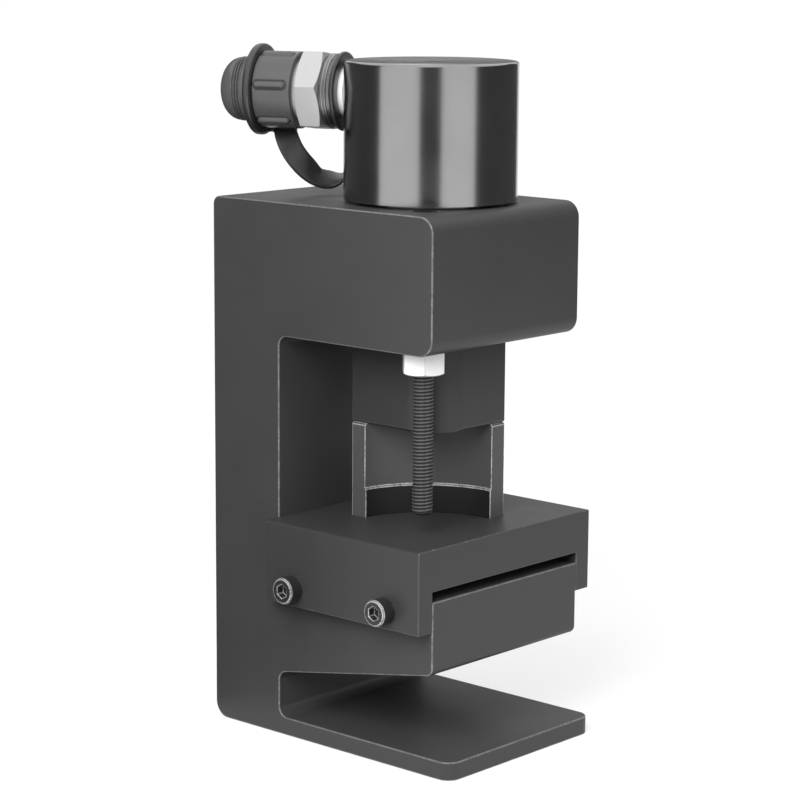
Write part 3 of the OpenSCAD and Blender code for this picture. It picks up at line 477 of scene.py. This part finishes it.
def holdDownScrew():
    low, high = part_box("hold_down_screw")
    length, radius = high.z - low.z, (high.x - low.x) / 2
    step = threadLook["pitch"] / threadLook["rowsPerTurn"]
    rows = round(length / step)
    stations = [length * n / rows for n in range(rows + 1)]

    def radiusAt(number, x, angle):
        wave = threadWave(x / threadLook["pitch"] - angle / fullTurn, threadLook["crest"])
        end = min(x, length - x)
        limit = radius - max(0, threadLook["tipChamfer"] - end)
        return min(limit, radius - threadLook["depth"] * (1 - wave))

    columns = threadLook["columns"]
    points = turnedPoints(stations, radiusAt, columns)
    faces = gridFaces(len(stations), columns) + endCaps(len(points), columns)
    mesh = meshOf("hold_down_thread", points, faces)
    # faces near the crest radius get the lighter crest finish: rubbed steel and painted highlight
    crests = [math.hypot(face.center.y, face.center.z) > radius - threadLook["wearAndHighlight"]
              for face in mesh.polygons]
    upright = Matrix.Translation(((low.x + high.x) / 2, (low.y + high.y) / 2, low.z))
    mesh.transform(upright @ Matrix.Rotation(-math.pi / 2, 4, "Y"))
    smoothShade(mesh, 50)
    piece = newPiece("hold_down_thread", mesh, ["screwBlack", "crestWearAndHighlight"])
    mesh.polygons.foreach_set("material_index", [int(crest) for crest in crests])
    return piece


mount(holdDownScrew(), "hold_down", "screw_black", "hold_down_screw")
print("hold-down screw done")


# Dust cap: ribbed body, groove, threaded nose and dome

capLook = {"bodyRadius": 18.7, "noseRadius": 15.7, "edge": 0.6, "neckDepth": 1.2, "mouthRadius": 16.1,
           "mouthChamfer": 0.4, "dome": 9.2, "domeFlat": 0.2, "domeStep": 0.3, "columns": 240}
ribLook = {"count": 6, "height": 1.2, "width": 4, "lean": 10, "slope": 1.3, "moat": 1.0,
           "moatAway": 0.2, "moatHalf": 0.5, "mouthGap": 2.2, "ringGap": 0.5}
noseThread = {"pitch": 1.4, "depth": 0.95, "crest": 0.35, "collar": 4.1, "end": 8.3, "round": 0.5,
              "fade": 0.3}
capStations = {"start": 65.94, "bodyEnd": 85.44, "noseStart": 89.34, "end": 106.84, "boreEnd": 84.64}


def blendStep(value, low, high):
    share = min(1, max(0, (value - low) / (high - low)))
    return share * share * (3 - 2 * share)


def ribLift(x, angle):  # height over the body of the round-ended grip ribs, with a moat round each
    count, edge = ribLook["count"], ribLook["width"] / 2
    first = capStations["start"] + ribLook["mouthGap"] + edge
    last = capStations["bodyEnd"] - ribLook["ringGap"] - edge
    share = (angle / fullTurn * count - ribLook["lean"] * count / 360) % 1
    across = (share - round(share)) * fullTurn * capLook["bodyRadius"] / count
    along = max(first - x, 0, x - last)
    reach = math.hypot(across, along)
    top = ribLook["height"] * (1 - blendStep(reach, edge - ribLook["slope"], edge))
    fromMoat = abs(reach - edge - ribLook["moatAway"])
    return top - ribLook["moat"] * (1 - min(1, fromMoat / ribLook["moatHalf"]))


def quarterRound(share):  # 0 to 1 along a quarter of a circle
    return math.sqrt(max(0, 1 - (1 - share) ** 2))


def capOuter(x, angle):  # the cap's outer radius
    body, nose, touch = capLook["bodyRadius"], capLook["noseRadius"], 0.001
    if x < capStations["bodyEnd"] - touch:
        rim = min(x - capStations["start"], capStations["bodyEnd"] - x)
        drop = capLook["edge"] * (1 - quarterRound(min(1, rim / capLook["edge"])))
        return body - drop + ribLift(x, angle)
    if x < capStations["noseStart"] - touch:
        return nose - capLook["neckDepth"]
    along = x - capStations["noseStart"]
    toEnd = capStations["end"] - x
    if toEnd < capLook["dome"]:
        flat = nose * capLook["domeFlat"]
        return flat + (nose - capLook["domeStep"] - flat) * quarterRound(toEnd / capLook["dome"])
    wave = threadWave(along / noseThread["pitch"] - angle / fullTurn, noseThread["crest"])
    inside = blendStep(along, noseThread["collar"] - 0.4, noseThread["collar"])
    rounded = noseThread["round"] * (1 - min(1, along / noseThread["round"])) ** 2
    faded = noseThread["fade"] * blendStep(along, noseThread["end"] - 0.7, noseThread["end"])
    return nose - rounded - noseThread["depth"] * (1 - wave) * inside - faded


def dustCap():
    s = capStations
    body = list(np.linspace(s["start"], s["start"] + 0.6, 5))
    body += list(np.linspace(s["start"] + 0.8, s["bodyEnd"] - 0.8, 62))
    body += list(np.linspace(s["bodyEnd"] - 0.6, s["bodyEnd"] - 0.0011, 5))
    neck = [s["bodyEnd"], s["noseStart"] - 0.0011]
    nose = list(np.linspace(s["noseStart"], s["end"] - capLook["dome"], 72))
    dome = [s["end"] - capLook["dome"] * (1 - math.sin(a)) for a in np.linspace(0.05, math.pi / 2, 20)]
    outer = body + neck + nose + dome
    bore = [s["boreEnd"], s["boreEnd"], s["start"] + capLook["mouthChamfer"], s["start"]]
    boreRadius = [0.5, capLook["noseRadius"], capLook["noseRadius"], capLook["mouthRadius"]]
    stations = outer + bore
    count = len(outer)

    def radiusAt(number, x, angle):
        return capOuter(x, angle) if number < count else boreRadius[number - count]

    columns = capLook["columns"]
    points = turnedPoints(stations, radiusAt, columns, mm)
    faces = [f for f in gridFaces(len(stations), columns, closed=True)
             if f[0] // columns != count - 1]
    domeTip = tuple(range((count - 1) * columns, count * columns))
    boreTip = tuple(range(count * columns, (count + 1) * columns))[::-1]
    mesh = meshOf("cap_shell", points, faces + [domeTip, boreTip])
    mesh.transform(portFrame)
    smoothShade(mesh, 40)
    return newPiece("cap_shell", mesh, ["capPlastic"])


mount(dustCap(), "cap", "black_plastic", "dust_cap")
print("dust cap done")


# Rubber strap: cap ring, band and port ring in one piece

strapLook = {"width": 11.5, "thickness": 2.5, "round": 0.8, "steps": 8, "voxel": 0.5, "smooth": 6,
             "stillTo": 50, "movesFrom": 80}
strapRoute = [  # in millimetres round the port's axis
    (79.42, -11.3, -19.3), (77.4, -6.9, -22.9), (73.7, -6.6, -30.5), (68.4, -9.7, -38.2),
    (62.6, -15.2, -44.1), (55.8, -20.1, -44.4), (50.1, -23.3, -42.4),
    (46.6, -24.9, -36.1), (44.9, -24.7, -27.2), (44.4, -21.7, -17.8), (44.44, -15, -9),
]
strapRoll = [0, -16, -35, -55, -107, -167, -225, -256, -268, -271, -270]
webLook = {"ringTurns": (-136, -128, -120, -112, -104), "tailTurns": (-126, -120, -114), "tailX": 81.0,
           "tailRadii": (21.3, 23.3)}
strapRings = [{"x": 85.59, "thick": 3.6, "outer": 22.25, "inner": 14.65, "round": 0.7},
              {"x": 43.34, "thick": 2.2, "outer": 19.2, "inner": 12.1, "round": 0.7}]


def smoothCurve(values, steps):  # Catmull-Rom through rows of numbers
    rows = np.array(values, float)
    made = []
    for i in range(len(rows) - 1):
        a, b, c, d = rows[max(i - 1, 0)], rows[i], rows[i + 1], rows[min(i + 2, len(rows) - 1)]
        for k in range(steps):
            t = k / steps
            made.append(0.5 * (2 * b + (c - a) * t + (2 * a - 5 * b + 4 * c - d) * t ** 2
                               + (3 * b - 3 * c + d - a) * t ** 3))
    made.append(rows[-1])
    return np.array(made)


def roundedLoop(halfWidth, halfHeight, radius, perCorner=4):
    loop = []
    for corner, (sx, sy) in enumerate([(1, 1), (-1, 1), (-1, -1), (1, -1)]):
        for k in range(perCorner + 1):
            a = math.pi / 2 * (corner + k / perCorner)
            loop.append((sx * (halfWidth - radius) + radius * math.cos(a),
                         sy * (halfHeight - radius) + radius * math.sin(a)))
    return loop


def strapBand():
    spine = smoothCurve(strapRoute, strapLook["steps"])
    roll = np.radians(smoothCurve([[r] for r in strapRoll], strapLook["steps"])[:, 0])
    run = np.gradient(spine, axis=0)
    run /= np.linalg.norm(run, axis=1)[:, None]
    level = np.array([1.0, 0, 0]) - run[:, :1] * run
    level /= np.linalg.norm(level, axis=1)[:, None]
    wide = level * np.cos(roll)[:, None] + np.cross(run, level) * np.sin(roll)[:, None]
    thick = np.cross(run, wide)
    loop = roundedLoop(strapLook["width"] / 2, strapLook["thickness"] / 2, strapLook["round"])
    points = [spine[k] + wide[k] * u + thick[k] * v for k in range(len(spine)) for u, v in loop]
    count = len(loop)
    return meshOf("band", points, gridFaces(len(spine), count) + endCaps(len(points), count))


def strapRing(ring, columns=96):
    section = roundedLoop(ring["thick"] / 2, (ring["outer"] - ring["inner"]) / 2, ring["round"])
    middle = (ring["outer"] + ring["inner"]) / 2
    centre = ring["x"] + ring["thick"] / 2
    turns = [fullTurn * c / columns for c in range(columns)]
    points = [(centre + u, (middle + v) * math.cos(a), (middle + v) * math.sin(a))
              for u, v in section for a in turns]
    return meshOf("ring", points, gridFaces(len(section), columns, closed=True))


def strapWeb():  # the thickening where the band runs out of the cap's ring
    ring = strapRings[0]
    work = bmesh.new()
    for turn in webLook["ringTurns"]:
        a = math.radians(turn)
        for r in (ring["outer"] - 1.5, ring["outer"] - 0.2):
            for x in (ring["x"] + 0.3, ring["x"] + ring["thick"] - 0.5):
                work.verts.new((x, r * math.cos(a), r * math.sin(a)))
    for turn in webLook["tailTurns"]:
        a = math.radians(turn)
        for r in webLook["tailRadii"]:
            work.verts.new((webLook["tailX"], r * math.cos(a), r * math.sin(a)))
    bmesh.ops.convex_hull(work, input=work.verts)
    mesh = bpy.data.meshes.new("web")
    work.to_mesh(mesh)
    work.free()
    return mesh


def capStrap():
    work = bmesh.new()
    for part in (strapBand(), strapRing(strapRings[0]), strapRing(strapRings[1]), strapWeb()):
        work.from_mesh(part)
    bmesh.ops.recalc_face_normals(work, faces=work.faces)
    mesh = bpy.data.meshes.new("strap_parts")
    work.to_mesh(mesh)
    work.free()
    piece = newPiece("cap_strap_moulding", mesh, ["strapRubber"])
    remesh = piece.modifiers.new("one skin", "REMESH")
    remesh.mode = "VOXEL"
    remesh.voxel_size = strapLook["voxel"]
    relax = piece.modifiers.new("relax", "SMOOTH")
    relax.factor = 0.5
    relax.iterations = strapLook["smooth"]
    bpy.context.view_layer.update()
    whole = bpy.data.meshes.new_from_object(piece.evaluated_get(bpy.context.evaluated_depsgraph_get()))
    piece.modifiers.clear()
    piece.data = whole
    whole.transform(portFrame @ Matrix.Scale(mm, 4))
    whole.materials.clear()
    whole.materials.append(finishes["strapRubber"])
    smoothShade(whole, 70)
    return piece


strap = capStrap()
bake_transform(strap)
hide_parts("cap_strap", "strap_ring")
print("strap done:", len(strap.data.polygons), "faces")


# Springs with round wire

springLooks = {  # in millimetres
    "return_spring": {"radius": 23, "wire": 5, "turns": 6, "low": 220.3, "high": 286.7},
    "valve_spring": {"radius": 5, "wire": 1.2, "turns": 3, "low": 61.44, "high": 68.84},
}


def coil(name, radius, wire, turns, low, high, sides=14, steps=40):
    points, total = [], turns * steps
    for i in range(total + 1):
        a = fullTurn * i / steps
        z = low + wire / 2 + (high - low - wire) * i / total
        for k in range(sides):
            b = fullTurn * k / sides
            r = radius + wire / 2 * math.cos(b)
            points.append((r * math.cos(a) * mm, r * math.sin(a) * mm, (z + wire / 2 * math.sin(b)) * mm))
    mesh = meshOf(name, points, gridFaces(total + 1, sides) + endCaps(len(points), sides))
    smoothShade(mesh, 60)
    return mesh


look = springLooks["return_spring"]
returnCoil = newPiece("return_coil", coil("return_coil", look["radius"], look["wire"], look["turns"],
                                          look["low"], look["high"]), ["springSteel"])
mount(returnCoil, "machine", "spring_steel", "return_spring")
ramTravel = next(j for j in frame["joints"] if j["name"] == "ram_stroke")["range_m"][1]
freeLength = (look["high"] - look["low"]) * mm
1 - ramTravel / freeLength
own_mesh(returnCoil)

look = springLooks["valve_spring"]
valveMesh = coil("valve_coil", look["radius"], look["wire"], look["turns"], look["low"], look["high"])
valveMesh.transform(portFrame @ Matrix.Rotation(math.pi / 2, 4, "Y"))
mount(newPiece("valve_coil", valveMesh, ["brightSteel"]), "valve", "bright_steel", "valve_spring")
print("springs done")


# Studio

studio = {"world": 0.5, "floor": 0.36, "floorGlow": 0.63, "floorHalf": 15}


def seenBy(tree, *kinds):  # 1 for rays of these kinds
    rays = tree.nodes.new("ShaderNodeLightPath")
    return sum((Signal(tree, rays.outputs[kind]) for kind in kinds[1:]),
               Signal(tree, rays.outputs[kinds[0]]))


def studioWorld():
    world = bpy.data.worlds.new("studio")
    bpy.context.scene.world = world
    world.use_nodes = True
    tree = world.node_tree
    tree.nodes.clear()
    seen = seenBy(tree, "Is Camera Ray", "Is Glossy Ray", "Is Transmission Ray")
    back = tree.nodes.new("ShaderNodeBackground")
    back.inputs["Color"].default_value = (1, 1, 1, 1)
    plug(tree, studio["world"] + seen * (1 - studio["world"]), back.inputs["Strength"])
    output = tree.nodes.new("ShaderNodeOutputWorld")
    tree.links.new(back.outputs[0], output.inputs["Surface"])


def studioFloor():
    half = studio["floorHalf"]
    corners = [(-half, -half, 0), (half, -half, 0), (half, half, 0), (-half, half, 0)]
    mesh = meshOf("floor", corners, [(0, 1, 2, 3)])
    floor = addObject("floor", mesh)
    paper = Finish("paper")
    seen = seenBy(paper.tree, "Is Camera Ray", "Is Glossy Ray")
    fibre = paper.noise(3 * mm, detail=3)
    level = studio["floor"]
    tint = paper.mix(fibre, (level, level, level), (level + 0.01, level + 0.01, level + 0.01))
    glow = paper.mix(seen, (0, 0, 0), (1, 1, 1))
    mesh.materials.append(paper.surface({
        "Base Color": tint, "Roughness": 0.95, "Specular IOR Level": 0,
        "Emission Color": glow, "Emission Strength": studio["floorGlow"]}))


lamps = {  # wide suns, so that the floor is lit evenly to the horizon
    "key": {"from": (-1.9, -0.4, 1.7), "strength": 1.15, "wide": 50},
    "fill": {"from": (1.0, -1.6, 0.9), "strength": 1.1, "wide": 60},
    "top": {"from": (0.1, 0.3, 2.4), "strength": 0.5, "wide": 70},
}


def softSun(name, look):
    light = bpy.data.lights.new(name, "SUN")
    light.energy = look["strength"]
    light.angle = math.radians(look["wide"])
    lamp = addObject(name, light)
    lamp.rotation_mode = "QUATERNION"
    lamp.rotation_quaternion = Vector(look["from"]).to_track_quat("Z", "Y")
    lamp.visible_glossy = False


sideLamp = {"at": (-0.75, -0.3, 0.62), "towards": (0, 0, 0.22), "size": 0.5, "power": 8}


def softPanel(name, look):  # a small panel that lifts the upper left side
    light = bpy.data.lights.new(name, "AREA")
    light.shape = "SQUARE"
    light.size = look["size"]
    light.energy = look["power"]
    lamp = addObject(name, light)
    lamp.location = look["at"]
    lamp.rotation_mode = "QUATERNION"
    lamp.rotation_quaternion = (Vector(look["towards"]) - lamp.location).to_track_quat("-Z", "Y")
    lamp.visible_glossy = False


darkCards = [  # azimuths seen from the object, from the camera's own direction, in degrees
    {"from": -15, "to": 12, "foot": 0.9, "near": 0.9, "low": 0.09, "high": 0.75},
    {"from": -150, "to": -65, "foot": 0.12, "near": 0.3, "low": 0.002, "high": 0.5},
    {"from": 57, "to": 150, "foot": 0.5, "near": 0.5, "low": 0.11, "high": 0.6},
    {"from": 160, "to": 200, "foot": 0.5, "near": 0.5, "low": 0.345, "high": 0.43},
    {"from": 160, "to": 200, "foot": 0.5, "near": 0.5, "low": 0.1, "high": 0.2},
]


def darkCard(number, card, cameraTurn):  # a curved black card that only reflections see
    columns = 17
    points = []
    for height, away in ((card["low"], card["foot"]), (card["high"], card["near"])):
        for c in range(columns):
            turn = math.radians(card["from"] + (card["to"] - card["from"]) * c / (columns - 1)) + cameraTurn
            points.append((away * math.cos(turn), away * math.sin(turn), height))
    faces = [(c, c + 1, columns + c + 1, columns + c) for c in range(columns - 1)]
    mesh = meshOf("card", points, faces)
    flag = addObject("card_" + str(number), mesh)
    mesh.materials.append(finishes["studioCard"])
    flag.visible_camera = False
    flag.visible_diffuse = False
    flag.visible_shadow = False
    flag.visible_transmission = False


cameraLook = {"at": (-0.9268, -0.8125, 0.3923), "azimuth": -48.11, "elevation": 10.33, "roll": 0.39,
              "lens": 115.32, "sensor": 36}


def studioCamera():
    a, e, r = (math.radians(cameraLook[k]) for k in ("azimuth", "elevation", "roll"))
    back = Vector((math.sin(a) * math.cos(e), -math.cos(a) * math.cos(e), math.sin(e)))
    level = Vector((math.cos(a), math.sin(a), 0))
    upright = back.cross(level)
    right = level * math.cos(r) + upright * math.sin(r)
    up = upright * math.cos(r) - level * math.sin(r)
    lens = bpy.data.cameras.new("camera")
    lens.lens = cameraLook["lens"]
    lens.sensor_width = cameraLook["sensor"]
    lens.clip_start = 0.01
    lens.clip_end = 100
    camera = addObject("camera", lens)
    turn = Matrix((right, up, back)).transposed().to_4x4()
    camera.matrix_world = Matrix.Translation(cameraLook["at"]) @ turn
    bpy.context.scene.camera = camera
    return math.atan2(back.y, back.x)


studioWorld()
studioFloor()
for name, look in lamps.items():
    softSun(name, look)
softPanel("side", sideLamp)
cameraTurn = studioCamera()
for number, card in enumerate(darkCards):
    darkCard(number, card, cameraTurn)
bpy.context.scene.view_settings.view_transform = "Standard"
print("studio done")
